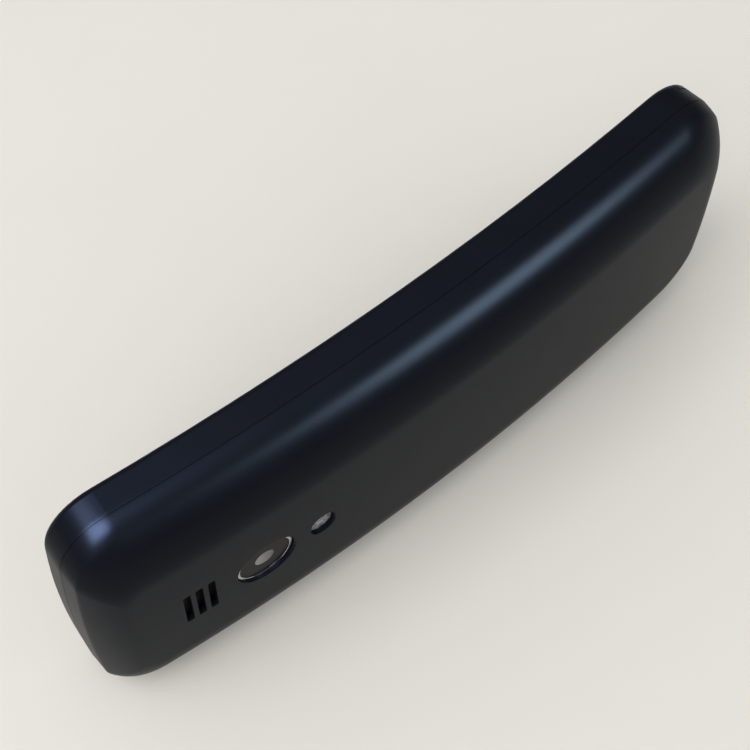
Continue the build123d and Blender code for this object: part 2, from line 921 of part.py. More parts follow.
def make_usb_socket():
    outer = Box(usb_length, usb_height, usb_width, align=(Align.MIN, Align.CENTER, Align.CENTER))
    outer = fillet(outer.edges().filter_by(Axis.X), usb_corner)
    inner = Pos(-usb_shell, 0, 0) * Box(
        usb_length,
        usb_height - 2 * usb_shell,
        usb_width - 2 * usb_shell,
        align=(Align.MIN, Align.CENTER, Align.CENTER),
    )
    blade_length = usb_length - usb_blade_setback
    blade = Box(blade_length, usb_shell, usb_width / 2, align=(Align.MAX, Align.CENTER, Align.CENTER))
    socket = outer - inner + Pos(usb_length, 0, 0) * blade
    return usb_place(usb_setback) * socket


def make_headphone_jack():
    body = Cylinder(jack_radius, jack_length, align=(Align.CENTER, Align.CENTER, Align.MIN))
    bore = Cylinder(jack_bore, jack_length - jack_end_wall, align=(Align.CENTER, Align.CENTER, Align.MIN))
    return jack_place(jack_setback) * (body - bore)


# Housing and its screws


def make_housing():
    """Tray screwed over the boards, with the battery bay through it."""
    ends = half_length + overrun
    skin_front = housing_back - housing_wall
    tray = plan_form(housing_inset) & arc_slab(-ends, ends, housing_depth, housing_back, 0, case_width)
    tray -= plan_form(housing_inset + housing_wall) & arc_slab(
        -ends, ends, housing_depth - overrun, skin_front, 0, case_width
    )
    bay_length = battery_length + 2 * battery_clearance
    bay_width = battery_width + 2 * battery_clearance
    bay_reach = bay_length / 2 + housing_wall
    bay_half = bay_width / 2 + housing_wall
    tray += arc_slab(
        battery_along - bay_reach,
        battery_along + bay_reach,
        housing_depth,
        housing_back,
        mid_width - bay_half,
        mid_width + bay_half,
    )
    for row in screw_rows:
        for column in screw_columns:
            tray += seat(row, housing_depth + hair, column) * disc(boss_radius, housing_height - 2 * hair)
    tray -= seat(battery_along, housing_depth - overrun, mid_width) * block(
        bay_length, 4 * overrun, bay_width
    )
    for row in screw_rows:
        for column in screw_columns:
            tray -= seat(row, housing_depth - cut_margin, column) * disc(
                screw_shank + screw_clearance, housing_height + 2 * cut_margin
            )
    tray -= seat(camera_along, housing_depth, mid_width) * block(
        camera_body + 2 * fit_gap, overrun, camera_body + 2 * fit_gap
    )
    tray -= seat(flash_along, housing_depth, mid_width) * disc(flash_guide_radius + fit_gap / 2, overrun)
    contact_half = contact_block_width / 2 + fit_gap
    tray -= arc_slab(
        battery_end,
        battery_end + board_gap + contact_block_length + fit_gap,
        housing_depth - cut_margin,
        housing_back + cut_margin,
        mid_width - contact_half,
        mid_width + contact_half,
    )
    socket_way = usb_height + 2 * fit_gap
    tray -= usb_place(usb_setback) * Box(2 * (usb_length + fit_gap), socket_way, usb_width + 2 * fit_gap)
    return tray - jack_room()


def make_screws():
    screws = []
    for row in screw_rows:
        for column in screw_columns:
            length = housing_back - housing_depth + screw_bite - hair
            shank = disc(screw_shank, length + hair)
            head = Pos(0, length, 0) * disc(screw_head, screw_head_height)
            slot = Pos(0, length + screw_head_height / 2, 0) * Box(
                screw_head, screw_head_height, screw_slot, align=(Align.CENTER, Align.MIN, Align.CENTER)
            )
            place = seat(row, housing_back + hair - length, column)
            screws.append(place * (shank + head - slot))
    return Compound(screws)


def make_pieces():
    """Every piece by its name."""
    outside = case_outside()
    module, lens = make_camera_module()
    holder, card = make_sim_holder()
    contact_block, contacts = make_contacts()
    pieces = {
        "back_cover": make_back_cover(outside),
        "camera_ring": make_camera_ring(),
        "camera_window": make_camera_window(),
        "flash_lens": make_flash_lens(),
        "speaker_mesh": make_speaker_mesh(),
        "front_frame": make_front_frame(outside),
        "display_window": make_display_window(),
        "display_module": make_display_module(),
        "earpiece": make_earpiece(),
        "earpiece_mesh": make_earpiece_mesh(),
        "slide_cover": make_slide_cover(outside),
        "slide_plate": make_slide_plate(),
        "slide_springs": make_slide_springs(),
        "navigation_ring": make_navigation_ring(),
        "select_key": make_key(
            ring_along, mid_width, centre_key_length, centre_key_width, centre_key_corner
        ),
        "dome_sheet": make_dome_sheet(),
        "keypad_board": make_board(keypad_board_along, keypad_board_depth, keypad_board_length),
        "main_board": make_board(main_board_along, main_board_depth, main_board_length),
        "lower_board": make_lower_board(),
        "shield_cans": make_shield_cans(),
        "camera_module": module,
        "camera_lens": lens,
        "flash_led": make_flash_led(),
        "flash_guide": make_flash_guide(),
        "sim_holder": holder,
        "sim_card": card,
        "battery": make_battery(),
        "contact_block": contact_block,
        "battery_contacts": contacts,
        "antenna": make_antenna(),
        "loudspeaker": make_loudspeaker(),
        "vibration_motor": make_motor(),
        "microphone": make_microphone(),
        "usb_socket": make_usb_socket(),
        "headphone_jack": make_headphone_jack(),
        "inner_housing": make_housing(),
        "housing_screws": make_screws(),
    }
    for name, along, across, length, width, corner in key_places():
        pieces[name] = make_key(along, across, length, width, corner)
    return pieces


os.makedirs("parts", exist_ok=True)
for node, shape in make_pieces().items():
    export_step(shape, f"parts/{node}.step")
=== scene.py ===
import math

import bmesh
import bpy
import numpy as np
from mathutils import Matrix, Vector


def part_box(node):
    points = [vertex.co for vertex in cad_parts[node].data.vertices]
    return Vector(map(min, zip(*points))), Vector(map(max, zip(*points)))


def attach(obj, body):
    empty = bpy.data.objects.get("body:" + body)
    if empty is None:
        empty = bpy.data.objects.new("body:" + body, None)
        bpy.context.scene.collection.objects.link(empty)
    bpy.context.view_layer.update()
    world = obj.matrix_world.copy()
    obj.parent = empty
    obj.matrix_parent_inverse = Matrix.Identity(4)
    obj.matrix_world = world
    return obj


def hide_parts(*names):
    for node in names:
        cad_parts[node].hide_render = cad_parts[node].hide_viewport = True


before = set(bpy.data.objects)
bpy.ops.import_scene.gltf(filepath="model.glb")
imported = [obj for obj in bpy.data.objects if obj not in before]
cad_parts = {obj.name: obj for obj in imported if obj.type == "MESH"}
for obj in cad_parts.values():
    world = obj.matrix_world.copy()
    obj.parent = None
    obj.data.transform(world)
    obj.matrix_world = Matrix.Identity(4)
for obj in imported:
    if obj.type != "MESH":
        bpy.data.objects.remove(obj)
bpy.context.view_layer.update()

# Front frame
# The real piece is a moulded shell that holds the screen, the key deck and the slide, and its outer
# band shows in front of the parting line. A thin soft-touch paint covers it, a navy near to black.

mm = 0.001
case_length = 133.0
case_width = 50.0
case_depth = 14.1
back_crown = 0.6
front_radius = 630.0
half_length = case_length / 2
mid_width = case_width / 2
front_drop = front_radius * (1 - math.cos(half_length / front_radius))
front_mid_y = (front_drop - case_depth - back_crown) / 2
paint_dark = (0.0060, 0.0068, 0.0098)
paint_light = (0.0078, 0.0088, 0.0125)
# Blue tint of the paint's shine: the blue of the room's light, painted into the paint.
painted_window_tint = (0.70, 0.84, 1.0, 1.0)
paint_gloss = 0.28


def place(along, depth, across):
    """Points of the row frame, in millimetres: an angle along / radius on the front's arc, a radius
    that grows with the depth, and z as it is."""
    angle = np.asarray(along, float) / front_radius
    reach = front_radius + np.asarray(depth, float)
    x = reach * np.sin(angle)
    y = front_mid_y - front_radius + reach * np.cos(angle)
    return np.stack(np.broadcast_arrays(x, y, np.asarray(across, float)), axis=-1)


class Value:
    """A node's output: an operator or a method on it adds one node."""

    def __init__(self, finish, socket):
        self.finish = finish
        self.socket = socket

    def maths(self, operation, first, second=None):
        inputs = {0: first} if second is None else {0: first, 1: second}
        return self.finish.node("ShaderNodeMath", {"operation": operation}, inputs)

    def __add__(self, other):
        return self.maths("ADD", self, other)

    def __sub__(self, other):
        return self.maths("SUBTRACT", self, other)

    def __rsub__(self, other):
        return self.maths("SUBTRACT", other, self)

    def __mul__(self, other):
        return self.maths("MULTIPLY", self, other)

    def __gt__(self, other):
        return self.maths("GREATER_THAN", self, other)

    def __lt__(self, other):
        return self.maths("LESS_THAN", self, other)

    def __abs__(self):
        return self.maths("ABSOLUTE", self)

    __radd__ = __add__
    __rmul__ = __mul__

    def wave(self):
        """Sine of an angle in radians."""
        return self.maths("SINE", self)

    def clamp(self):
        """The number, held between 0 and 1."""
        return self.finish.node("ShaderNodeClamp", {}, {"Value": self})


class Finish:
    """One material, with the nodes that feed its shader. Constants sit on the shader's sockets."""

    def __init__(self, name, **constants):
        self.material = bpy.data.materials.new(name)
        self.material.use_nodes = True
        self.tree = self.material.node_tree
        self.shader = self.tree.nodes["Principled BSDF"]
        for socket, value in constants.items():
            self.shader.inputs[socket.replace("_", " ")].default_value = value

    def node(self, kind, settings, inputs, output=0):
        """Adds a node: its settings first, then the values or links of its sockets."""
        node = self.tree.nodes.new(kind)
        for key, value in settings.items():
            setattr(node, key, value)
        for key, value in inputs.items():
            if isinstance(value, Value):
                self.tree.links.new(value.socket, node.inputs[key])
            elif isinstance(value, tuple) and len(value) == 3 and node.inputs[key].type == "RGBA":
                node.inputs[key].default_value = (*value, 1)
            else:
                node.inputs[key].default_value = value
        return Value(self, node.outputs[output])

    def spot(self, scale=(1, 1, 1), turn=(0, 0, 0)):
        """Object coordinates, stretched and turned."""
        here = self.node("ShaderNodeTexCoord", {}, {}, "Object")
        return self.node("ShaderNodeMapping", {}, {"Vector": here, "Rotation": turn, "Scale": scale})

    def axis(self, name):
        """One object coordinate in millimetres."""
        here = self.node("ShaderNodeTexCoord", {}, {}, "Object")
        return self.node("ShaderNodeSeparateXYZ", {}, {"Vector": here}, name) * (1 / mm)

    def noise(self, size, detail=2.0, roughness=0.5, stretch=(1, 1, 1)):
        """Cloudy noise whose blotches measure about a size in millimetres."""
        inputs = {"Vector": self.spot(stretch), "Scale": 1 / (size * mm)}
        inputs |= {"Detail": detail, "Roughness": roughness}
        return self.node("ShaderNodeTexNoise", {}, inputs)

    def cells(self, size):
        """Distance to the middle of the nearest of many cells, of about a size in millimetres."""
        inputs = {"Vector": self.spot(), "Scale": 1 / (size * mm)}
        return self.node("ShaderNodeTexVoronoi", {}, inputs, "Distance")

    def mix(self, share, first, second):
        """Colour between two others, which a Mix node takes at sockets 6 and 7 and gives at socket 2."""
        return self.node("ShaderNodeMix", {"data_type": "RGBA"}, {0: share, 6: first, 7: second}, 2)

    def feed(self, socket, value):
        """Links a value or a colour to one of the shader's sockets."""
        self.tree.links.new(value.socket, self.shader.inputs[socket])

    def relief(self, height, distance):
        """Bump of a height map, its distance in millimetres."""
        inputs = {"Height": height, "Distance": distance * mm}
        self.feed("Normal", self.node("ShaderNodeBump", {}, inputs))


def soft_paint():
    """Soft-touch paint: fine even grain, faint clouds in its colour and its gloss."""
    # The shine's blue tint is the room's light colour, painted into the paint.
    paint = Finish("case_paint", IOR=1.45, Specular_IOR_Level=0.10, Specular_Tint=painted_window_tint)
    clouds = paint.noise(16, detail=3)
    fine = paint.noise(0.14, detail=2, roughness=0.6)
    rubbed = paint.noise(5, detail=4, roughness=0.6)
    grain = fine * 0.8 + paint.noise(0.45, detail=1) * 0.2
    paint.feed("Base Color", paint.mix(clouds, paint_dark, paint_light))
    paint.feed("Roughness", (paint_gloss - 0.06 + 0.05 * clouds + 0.06 * fine + 0.04 * rubbed).clamp())
    paint.relief(grain, 0.004)
    return paint.material


def paint_nodes(material, *names):
    """CAD nodes whose shape is right keep it and get their material."""
    for name in names:
        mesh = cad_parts[name].data
        mesh.materials.clear()
        mesh.materials.append(material)


case_paint = soft_paint()
paint_nodes(case_paint, "front_frame")

# Screen and its window
# The real window is one curved clear plastic pane, printed black on its underside except over the
# screen. It is glued into the frame, and the screen and the earpiece sit in their beds under it.

pane_start = 15.15
pane_end = 55.35
pane_half_width = 15.8
pane_clearness = 0.62
screen_start = 15.55
screen_end = 54.95
screen_half_width = 15.6
dot_pace = 36
mesh_pitch = 0.25
mesh_hole = 0.45


def window_glass():
    """Printed black round a clear pane: the alpha is full where the print is."""
    glass = Finish("window_glass", Coat_Weight=0.6, Coat_Roughness=0.03, IOR=1.49)
    middle = (pane_start + pane_end) / 2
    inside_length = abs(glass.axis("X") - middle) < (pane_end - pane_start) / 2
    inside_width = abs(glass.axis("Z") - mid_width) < pane_half_width
    pane = inside_length * inside_width
    smear = glass.noise(9, detail=4, roughness=0.6, stretch=(1, 1, 2))
    glass.feed("Base Color", glass.mix(smear, (0.004, 0.004, 0.005), (0.007, 0.007, 0.008)))
    glass.feed("Roughness", 0.05 + 0.09 * smear * smear)
    glass.feed("Alpha", 1 - pane_clearness * pane)
    return glass.material


def screen_finish():
    """Screen that is switched off: a grey-blue sheet with a fine grid of dots, sin(pace x) times
    sin(pace z), and a dark edge."""
    screen = Finish("dark_screen", Roughness=0.25)
    dots = (screen.axis("X") * dot_pace).wave() * (screen.axis("Z") * dot_pace).wave()
    edge = abs(screen.axis("Z") - mid_width) > screen_half_width
    edge = edge + (screen.axis("X") > screen_end) + (screen.axis("X") < screen_start)
    sheet = screen.mix(screen.noise(30), (0.030, 0.036, 0.046), (0.042, 0.050, 0.062))
    dotted = screen.mix(0.25 + 0.2 * dots, sheet, (0.055, 0.066, 0.080))
    screen.feed("Base Color", screen.mix(edge.clamp(), dotted, (0.012, 0.012, 0.014)))
    screen.relief(dots, 0.01)
    return screen.material


def woven_mesh():
    """Woven wire: the product of the sines of two crossed sets of wires, and black where it is large
    and the holes are."""
    mesh = Finish("dark_mesh", Metallic=0.6)
    pace = 2 * math.pi / mesh_pitch
    warp = abs((mesh.axis("X") * pace).wave())
    weft = abs((mesh.axis("Z") * pace).wave())
    holes = (warp * weft) > mesh_hole
    mesh.feed("Base Color", mesh.mix(holes, (0.02, 0.02, 0.022), (0.001, 0.001, 0.001)))
    mesh.feed("Roughness", 0.35 + 0.25 * mesh.noise(1.5))
    mesh.relief(1 - warp * weft, 0.05)
    return mesh.material


paint_nodes(window_glass(), "display_window")
paint_nodes(screen_finish(), "display_module")
paint_nodes(woven_mesh(), "earpiece_mesh", "speaker_mesh")

# Keys
# The real keys are separate moulded caps that stand through the deck, each over its own dome. Their
# marks are printed, pale for the digits and coloured for the call keys.

key_dark = (0.014, 0.015, 0.018)
key_light = (0.020, 0.021, 0.025)
key_top = 2.3
print_lift = 0.012
merge_reach = 2e-6
flat_reach = 1e-7
digit_height = 3.3
digit_names = {"star": "*", "hash": "#"}
stroke_steps = 18
dash_half_length = 1.4
dash_half_width = 0.22
handset_half_length = 2.1
handset_rise = 0.75
handset_bow = 1.3
handset_half_width = 0.26
handset_swell = 0.5
handset_neck = 0.62
arrow = np.array([[-0.75, -0.4], [0.75, -0.4], [0.0, 0.45]])
arrow_up = 4.4
arrow_aside = 5.6


def key_finish():
    """Moulded plastic with a fine spark-eroded grain and worn, smoother patches."""
    plastic = Finish("key_plastic", IOR=1.47, Specular_IOR_Level=0.4)
    grain = plastic.noise(0.12, detail=2, roughness=0.7)
    worn = plastic.noise(3, detail=3)
    plastic.feed("Base Color", plastic.mix(worn, key_dark, key_light))
    plastic.feed("Roughness", 0.30 + 0.10 * grain + 0.08 * worn)
    plastic.relief(grain, 0.006)
    return plastic.material


def key_print(name, colour):
    """Printed ink, thin and slightly uneven."""
    ink = Finish(name, Roughness=0.5)
    uneven = ink.noise(0.3, detail=3)
    ink.feed("Base Color", ink.mix(uneven, colour, tuple(0.8 * part for part in colour)))
    return ink.material


def finish_mesh(name, mesh, smooth_angle=35):
    """Merges doubles, turns the faces outwards and marks the sharp edges. A mesh is in metres, and so
    are the two reaches."""
    work = bmesh.new()
    work.from_mesh(mesh)
    bmesh.ops.remove_doubles(work, verts=work.verts, dist=merge_reach)
    bmesh.ops.dissolve_degenerate(work, edges=work.edges, dist=flat_reach)
    bmesh.ops.recalc_face_normals(work, faces=work.faces)
    work.to_mesh(mesh)
    work.free()
    mesh.shade_smooth()
    mesh.set_sharp_from_angle(angle=math.radians(smooth_angle))
    piece = bpy.data.objects.new(name, mesh)
    bpy.context.scene.collection.objects.link(piece)
    return piece


def add_mesh(name, points, faces, smooth_angle=35):
    """A mesh at the origin from points in millimetres."""
    mesh = bpy.data.meshes.new(name)
    mesh.from_pydata((np.asarray(points) * mm).tolist(), [], faces)
    return finish_mesh(name, mesh, smooth_angle)


def grid_faces(rows, columns, closed_rows=False):
    """Quads of a grid whose rows are closed loops, counted row by row. Where the rows are closed too,
    the last one joins the first."""
    count = rows if closed_rows else rows - 1
    i, j = np.meshgrid(np.arange(count), np.arange(columns), indexing="ij")
    next_i, next_j = (i + 1) % rows, (j + 1) % columns
    corners = [i * columns + j, i * columns + next_j, next_i * columns + next_j, next_i * columns + j]
    return np.stack(corners, axis=-1).reshape(-1, 4).tolist()


def capped(name, loops, smooth_angle=35):
    """Closed solid through a stack of loops, with a flat face over the first and the last."""
    rows, columns = loops.shape[:2]
    faces = grid_faces(rows, columns)
    faces += [list(range(columns)), list(range((rows - 1) * columns, rows * columns))]
    return add_mesh(name, loops.reshape(-1, 3), faces, smooth_angle)


def dress(piece, material, body, replaces=()):
    """Gives a piece its material, its body and the CAD nodes that it stands for."""
    piece.data.materials.clear()
    piece.data.materials.append(material)
    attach(piece, body)
    if replaces:
        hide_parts(*replaces)


def key_centre(name):
    """Place along and across of a key, from its CAD box."""
    low, high = (np.array(corner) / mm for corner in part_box(name))
    x, y, z = (low + high) / 2
    return front_radius * math.atan2(x, y - front_mid_y + front_radius), z


def ribbon(right, up, half_widths):
    """Printed stroke, as a closed strip: a centre line, moved to both sides along its normals by the
    half width at each point."""
    path = np.stack([right, up], axis=-1)
    run = np.gradient(path, axis=0)
    side = np.stack([-run[:, 1], run[:, 0]], axis=-1) / np.linalg.norm(run, axis=1)[:, None]
    offset = side * np.asarray(half_widths)[:, None]
    return np.concatenate([path + offset, (path - offset)[::-1]])


def print_mark(name, key, loops, material):
    """Prints loops, drawn to the right and up as the user sees them, on a key's top."""
    along, across = key_centre(key)
    points = []
    faces = []
    for loop in loops:
        count = len(loop)
        for lift in (print_lift, -print_lift):
            points.append(place(along + loop[:, 1], key_top - lift, across - loop[:, 0]))
        start = sum(len(part) for part in points) - 2 * count
        ring = np.arange(count)
        following = (ring + 1) % count
        top, under = start + ring, start + count + ring
        sides = [top, start + following, start + count + following, under]
        faces += np.stack(sides, axis=-1).tolist()
        faces += [top.tolist(), under[::-1].tolist()]
    dress(add_mesh(name, np.concatenate(points), faces), material, key + "_body")


def print_digit(mark, material):
    """Prints a digit with the plain built-in letterform, laid on the key's top."""
    key = "key_" + mark
    curve = bpy.data.curves.new("digit", "FONT")
    curve.body = digit_names.get(mark, mark)
    curve.size = digit_height * mm
    curve.extrude = print_lift * mm
    curve.align_x = "CENTER"
    curve.align_y = "CENTER"
    shape = bpy.data.objects.new("digit", curve)
    bpy.context.scene.collection.objects.link(shape)
    bpy.context.view_layer.update()
    mesh = bpy.data.meshes.new_from_object(shape.evaluated_get(bpy.context.evaluated_depsgraph_get()))
    bpy.data.objects.remove(shape)
    flat = np.empty(len(mesh.vertices) * 3)
    mesh.vertices.foreach_get("co", flat)
    right, up, lift = (flat.reshape(-1, 3) / mm).T
    right = right - (right.min() + right.max()) / 2
    up = up - (up.min() + up.max()) / 2
    along, across = key_centre(key)
    points = place(along + up, key_top - lift, across - right)
    mesh.vertices.foreach_set("co", (points * mm).ravel())
    mesh.materials.clear()
    dress(finish_mesh("print_" + mark, mesh), material, key + "_body")


digit_marks = [*"123456789", "star", "0", "hash"]
side_keys = ["soft_key_left", "soft_key_right", "call_key", "end_key", "navigation_ring", "select_key"]
paint_nodes(key_finish(), *side_keys, *("key_" + mark for mark in digit_marks))
pale_print = key_print("pale_print", (0.62, 0.66, 0.70))
green_print = key_print("green_print", (0.03, 0.42, 0.10))
red_print = key_print("red_print", (0.55, 0.03, 0.03))
for mark in digit_marks:
    print_digit(mark, pale_print)
stroke = np.linspace(-1, 1, stroke_steps)
for key in ("soft_key_left", "soft_key_right"):
    dash = ribbon(dash_half_length * stroke, 0 * stroke, dash_half_width + 0 * stroke)
    print_mark("print_" + key, key, [dash], pale_print)
for key, material in (("call_key", green_print), ("end_key", red_print)):
    bow = handset_rise - handset_bow * stroke**2
    swell = handset_half_width + handset_swell * (abs(stroke) > handset_neck)
    print_mark("print_" + key, key, [ribbon(handset_half_length * stroke, bow, swell)], material)
arrows = []
for first_turn, reach in ((0, arrow_up), (math.pi / 2, arrow_aside)):
    for turn in (first_turn, first_turn + math.pi):
        spin = np.array([[math.cos(turn), math.sin(turn)], [-math.sin(turn), math.cos(turn)]])
        arrows.append((arrow + [0, reach]) @ spin)
print_mark("print_arrows", "navigation_ring", arrows, pale_print)

# Slide over the keypad
# The real slide is a painted skin on a spring-steel plate, whose edges run in the frame's grooves.
# It is pushed down by its three ribs to uncover the keys. The plate is black towards its foot end.

steel_colour = (0.52, 0.53, 0.55)
steel_gloss = 0.26
plate_black_end = -57.0
past_the_foot = -200.0


def brushed_steel(name, colour, gloss, black_end=past_the_foot):
    """Rolled steel: fine lines along one way, and cloudy gloss. It is black, not metal, from black_end, a
    place along X, towards the foot."""
    steel = Finish(name)
    lines = steel.noise(0.15, detail=3, roughness=0.6, stretch=(0.05, 1, 1))
    clouds = steel.noise(4, detail=2)
    bare = steel.mix(lines, colour, tuple(0.8 * part for part in colour))
    black = steel.axis("X") < black_end
    steel.feed("Base Color", steel.mix(black, bare, (0.008, 0.008, 0.010)))
    steel.feed("Metallic", 1 - black)
    steel.feed("Roughness", gloss + 0.12 * lines + 0.08 * clouds)
    steel.relief(lines, 0.004)
    return steel.material


paint_nodes(case_paint, "slide_cover")
paint_nodes(brushed_steel("spring_steel", steel_colour, steel_gloss), "slide_springs")
plate_steel = brushed_steel("plate_steel", steel_colour, steel_gloss, plate_black_end)
paint_nodes(plate_steel, "slide_plate")

# Boards and what is soldered to them
# The real boards are green laminate with printed tracks. Tinned cans, the camera, the lamp, the
# sockets and the card holder are soldered on, and a foil with snap domes lies under the keys.

track_pitch = 2.2
dot_pitch = 1.6
dot_share = 0.16


def board_finish():
    """Green lacquer over a maze of copper tracks, the joints of a brick pattern, with tinned dots."""
    board = Finish("green_board", Roughness=0.32)
    flat = board.spot(turn=(math.pi / 2, 0, 0))
    tracks = board.node("ShaderNodeTexBrick", {"offset": 0.5}, {
        "Vector": flat, "Scale": 1 / (track_pitch * mm), "Mortar Size": 0.11, "Brick Width": 0.9,
        "Row Height": 0.35,
    }, "Fac")
    dots = board.cells(dot_pitch) < dot_share
    green = board.mix(board.noise(8), (0.008, 0.075, 0.028), (0.012, 0.10, 0.040))
    lacquer = board.mix(tracks, green, (0.030, 0.19, 0.075))
    board.feed("Base Color", board.mix(dots, lacquer, (0.62, 0.62, 0.60)))
    board.feed("Metallic", dots)
    board.relief(tracks + dots, 0.03)
    return board.material


def moulded(name, dark, light, gloss, grain=0.15):
    """Plain moulded plastic with a fine grain and faint flow marks."""
    plastic = Finish(name, IOR=1.48)
    fine = plastic.noise(grain, detail=2, roughness=0.6)
    flow = plastic.noise(7, detail=3, roughness=0.5, stretch=(0.4, 1, 1))
    plastic.feed("Base Color", plastic.mix(flow, dark, light))
    plastic.feed("Roughness", gloss + 0.10 * fine + 0.06 * flow)
    plastic.relief(fine, 0.008)
    return plastic.material


def plated(name, colour, gloss):
    """Plated metal with small dull specks."""
    metal = Finish(name, Metallic=1.0)
    specks = metal.noise(0.5, detail=4, roughness=0.6)
    metal.feed("Base Color", metal.mix(specks, colour, tuple(0.85 * part for part in colour)))
    metal.feed("Roughness", gloss + 0.15 * specks)
    return metal.material


def lamp_phosphor():
    """Yellow phosphor that is cast over the lamp's chip, slightly uneven."""
    phosphor = Finish("lamp_phosphor", Roughness=0.6)
    uneven = phosphor.noise(0.2, detail=3)
    phosphor.feed("Base Color", phosphor.mix(uneven, (0.85, 0.72, 0.20), (0.75, 0.60, 0.12)))
    return phosphor.material


black_plastic = moulded("black_plastic", (0.010, 0.010, 0.011), (0.016, 0.016, 0.017), gloss=0.42)
gold_plate = plated("gold_plate", (0.83, 0.60, 0.24), gloss=0.18)
tin_plate = plated("tin_plate", (0.60, 0.61, 0.62), gloss=0.28)
dome_foil = plated("dome_foil", (0.66, 0.64, 0.58), gloss=0.30)
white_card = moulded("white_card", (0.62, 0.62, 0.60), (0.70, 0.70, 0.68), gloss=0.35)
paint_nodes(board_finish(), "keypad_board", "main_board", "lower_board")
paint_nodes(dome_foil, "dome_sheet")
paint_nodes(tin_plate, "shield_cans", "sim_holder", "usb_socket", "vibration_motor", "microphone")
paint_nodes(white_card, "sim_card")
paint_nodes(black_plastic, "contact_block", "camera_module", "earpiece", "headphone_jack")
paint_nodes(gold_plate, "battery_contacts")
paint_nodes(lamp_phosphor(), "flash_led")

# Inner housing
# The real housing is a grey moulded tray, screwed down over the boards, with the battery bay in its
# middle. A foil aerial is glued on its lower end and the loudspeaker lies on its upper end.

loop_pace_along = 1.5
loop_pace_across = 1.2
loop_edge = 0.05
# Pale middle of each facet of the flash lens: a painted highlight.
facet_highlight_colour = (0.50, 0.49, 0.54)
facet_size = 0.55


def aerial_foil():
    """Flexible film with copper loops under a matt lacquer: the loops are where the product of two
    crossed sines is above their edge."""
    foil = Finish("aerial_foil", Metallic=0.25)
    waves = (foil.axis("X") * loop_pace_along).wave() * (foil.axis("Z") * loop_pace_across).wave()
    loops = waves > loop_edge
    foil.feed("Base Color", foil.mix(loops, (0.012, 0.012, 0.013), (0.42, 0.20, 0.08)))
    foil.feed("Roughness", 0.35 + 0.15 * foil.noise(2))
    foil.relief(loops, 0.02)
    return foil.material


def clear_plastic():
    """Clear moulded plastic with small facets, whose relief throws back sparks of light. Its colour paints
    a highlight in each facet's middle and shade towards its edges.
    """
    clear = Finish("flash_plastic", IOR=1.49, Coat_Weight=0.5, Coat_Roughness=0.02)
    facets = clear.cells(facet_size)
    shaded = tuple(0.25 * part for part in facet_highlight_colour)
    # Painted highlight and shade: each facet is pale in its middle and darker towards its edges.
    clear.feed("Base Color", clear.mix(facets, facet_highlight_colour, shaded))
    clear.feed("Roughness", 0.06 + 0.10 * clear.noise(1))
    clear.relief(facets, 0.12)
    return clear.material


tray_plastic = moulded("tray_plastic", (0.030, 0.031, 0.034), (0.042, 0.043, 0.046), gloss=0.45)
speaker_plastic = moulded("speaker_plastic", (0.012, 0.012, 0.012), (0.022, 0.022, 0.022), gloss=0.5)
screw_steel = brushed_steel("screw_steel", (0.35, 0.35, 0.36), gloss=0.25)
flash_plastic = clear_plastic()
paint_nodes(tray_plastic, "inner_housing")
paint_nodes(screw_steel, "housing_screws")
paint_nodes(aerial_foil(), "antenna")
paint_nodes(speaker_plastic, "loudspeaker")
paint_nodes(flash_plastic, "flash_guide")

# Battery
# The real battery is a flat pouch in a glossy dark wrap with rounded corners, with a blank pale
# panel on it and three gilded pads at the end that meets the sprung contacts.

panel_margin = 4.5
panel_corner = 2.0
panel_lift = 0.05
contact_lift = 0.06
contact_half_depth = 0.8
contact_half_width = 0.75
contact_corner = 0.25
contact_pitch = 2.5


def arc_axes(angle):
    """Unit vectors at an angle on the arc: along it, outwards from its centre, and upright."""
    tangent = [math.cos(angle), -math.sin(angle), 0]
    normal = [math.sin(angle), math.cos(angle), 0]
    return np.array([tangent, normal, [0, 0, 1.0]])


def node_seat(node):
    """Axes of the arc at a node's middle, with the node's lowest and highest places along them."""
    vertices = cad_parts[node].data.vertices
    points = np.empty(len(vertices) * 3)
    vertices.foreach_get("co", points)
    points = points.reshape(-1, 3) / mm
    x, y = (points.min(0) + points.max(0))[:2] / 2
    axes = arc_axes(math.atan2(x, y - front_mid_y + front_radius))
    local = points @ axes.T
    return axes, local.min(0), local.max(0)


def round_corner_loop(half_u, half_v, corner, steps=8):
    """Rectangle with round corners, as one closed loop: four quarter circles about points that lie
    one corner radius inside its sides."""
    turns = np.linspace(0, math.pi / 2, steps)
    parts = []
    for number, (u, v) in enumerate(((1, 1), (-1, 1), (-1, -1), (1, -1))):
        turn = turns + number * math.pi / 2
        centre = np.array([u * (half_u - corner), v * (half_v - corner)])
        parts.append(centre + corner * np.stack([np.cos(turn), np.sin(turn)], axis=-1))
    return np.concatenate(parts)


def wrap_finish():
    """Shrunk plastic wrap: dark, glossy, with faint lengthwise creases and painted shade along them."""
    wrap = Finish("battery_wrap", Coat_Weight=0.4, Coat_Roughness=0.1)
    creases_and_shade = wrap.noise(2.5, detail=4, roughness=0.6, stretch=(0.15, 1, 1))
    # Painted shade: the colour is darker and lighter along the creases.
    wrap.feed("Base Color", wrap.mix(creases_and_shade, (0.018, 0.020, 0.026), (0.030, 0.033, 0.042)))
    wrap.feed("Roughness", 0.22 + 0.15 * creases_and_shade)
    wrap.relief(creases_and_shade, 0.05)
    return wrap.material


